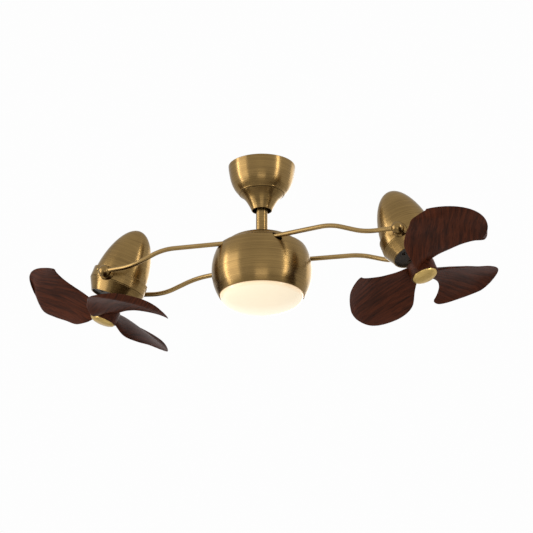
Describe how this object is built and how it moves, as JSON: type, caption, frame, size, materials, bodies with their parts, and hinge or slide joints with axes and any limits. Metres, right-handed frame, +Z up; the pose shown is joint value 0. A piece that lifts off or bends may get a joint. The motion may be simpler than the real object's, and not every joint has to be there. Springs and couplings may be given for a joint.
{
  "type": "twin head ceiling fan",
  "caption": "Ceiling fan: canopy, downrod and globe light with bent arm pairs that each hold a tilting bullet motor with a carved wooden propeller",
  "frame": {"origin": "centre of the mounting plate's flat face, which meets the ceiling", "axes": "+X along the arms to the right head, +Y to the rear, +Z up through the ceiling"},
  "size_m": [1.0421, 0.3437, 0.3856],
  "materials": {
    "antique_brass": "antique brushed, clear lacquer",
    "satin_gold": "satin brushed",
    "walnut": "dark stained walnut, satin",
    "opal_glass": "opal, lit from inside",
    "plain_steel": "zinc plated",
    "aluminium": "as cast",
    "stator_iron": "varnished laminations",
    "board": "white solder mask",
    "black_plastic": "fine texture"
  },
  "bodies": {
    "ceiling_mount": {"mounting_plate": "plain_steel", "hanger_bracket": "plain_steel", "canopy_bowl": "antique_brass", "canopy_cone": "antique_brass", "receiver_box": "black_plastic", "canopy_screw_front": "plain_steel", "canopy_screw_rear": "plain_steel"},
    "hanger": {"hanger_ball": "black_plastic", "downrod": "antique_brass", "cross_pin": "plain_steel", "bearing_spindle": "plain_steel", "spindle_nut": "plain_steel"},
    "right_head": {"collar_screw_right_a": "plain_steel", "collar_screw_right_b": "plain_steel", "motor_bearing_right": "plain_steel", "motor_collar_right": "antique_brass", "motor_stator_right": "stator_iron", "nose_cone_right": "antique_brass", "pivot_cup_right_a": "antique_brass", "pivot_cup_right_b": "antique_brass", "tail_shell_right": "antique_brass"},
    "right_rotor": {"blade_right_1": "walnut", "blade_right_2": "walnut", "blade_right_3": "walnut", "hub_right": "walnut", "nose_cap_right": "satin_gold", "rotor_shaft_right": "plain_steel"},
    "left_head": {"collar_screw_left_a": "plain_steel", "collar_screw_left_b": "plain_steel", "motor_bearing_left": "plain_steel", "motor_collar_left": "antique_brass", "motor_stator_left": "stator_iron", "nose_cone_left": "antique_brass", "pivot_cup_left_a": "antique_brass", "pivot_cup_left_b": "antique_brass", "tail_shell_left": "antique_brass"},
    "left_rotor": {"blade_left_1": "walnut", "blade_left_2": "walnut", "blade_left_3": "walnut", "hub_left": "walnut", "nose_cap_left": "satin_gold", "rotor_shaft_left": "plain_steel"},
    "carriage": {"arm_left_front": "antique_brass", "arm_left_rear": "antique_brass", "arm_right_front": "antique_brass", "arm_right_rear": "antique_brass", "bearing_housing": "aluminium", "carriage_bearing": "plain_steel", "carriage_plate": "plain_steel", "diffuser": "opal_glass", "globe_cap": "antique_brass", "globe_shell": "antique_brass", "led_board": "board", "led_driver": "black_plastic", "led_tray": "aluminium", "pivot_ball_left_front": "antique_brass", "pivot_ball_left_rear": "antique_brass", "pivot_ball_right_front": "antique_brass", "pivot_ball_right_rear": "antique_brass"}
  },
  "joints": [
    {"name": "hanger_swing", "type": "hinge", "parent": "ceiling_mount", "child": "hanger", "pos_m": [0, 0, -0.045], "axis": [1, 0, 0], "range_deg": [-6, 6]},
    {"name": "carriage_spin", "type": "hinge", "parent": "hanger", "child": "carriage", "pos_m": [0, 0, -0.195], "axis": [0, 0, 1], "continuous": true},
    {"name": "right_tilt", "type": "hinge", "parent": "carriage", "child": "right_head", "pos_m": [0.336, 0, -0.2234], "axis": [0, -1, 0], "range_deg": [-21, 69]},
    {"name": "left_tilt", "type": "hinge", "parent": "carriage", "child": "left_head", "pos_m": [-0.336, 0, -0.2234], "axis": [0, 1, 0], "range_deg": [-24, 66]},
    {"name": "right_spin", "type": "hinge", "parent": "right_head", "child": "right_rotor", "pos_m": [0.336, 0, -0.2234], "axis": [0.3584, 0, -0.9336], "continuous": true},
    {"name": "left_spin", "type": "hinge", "parent": "left_head", "child": "left_rotor", "pos_m": [-0.336, 0, -0.2234], "axis": [-0.4067, 0, -0.9135], "continuous": true}
  ]
}
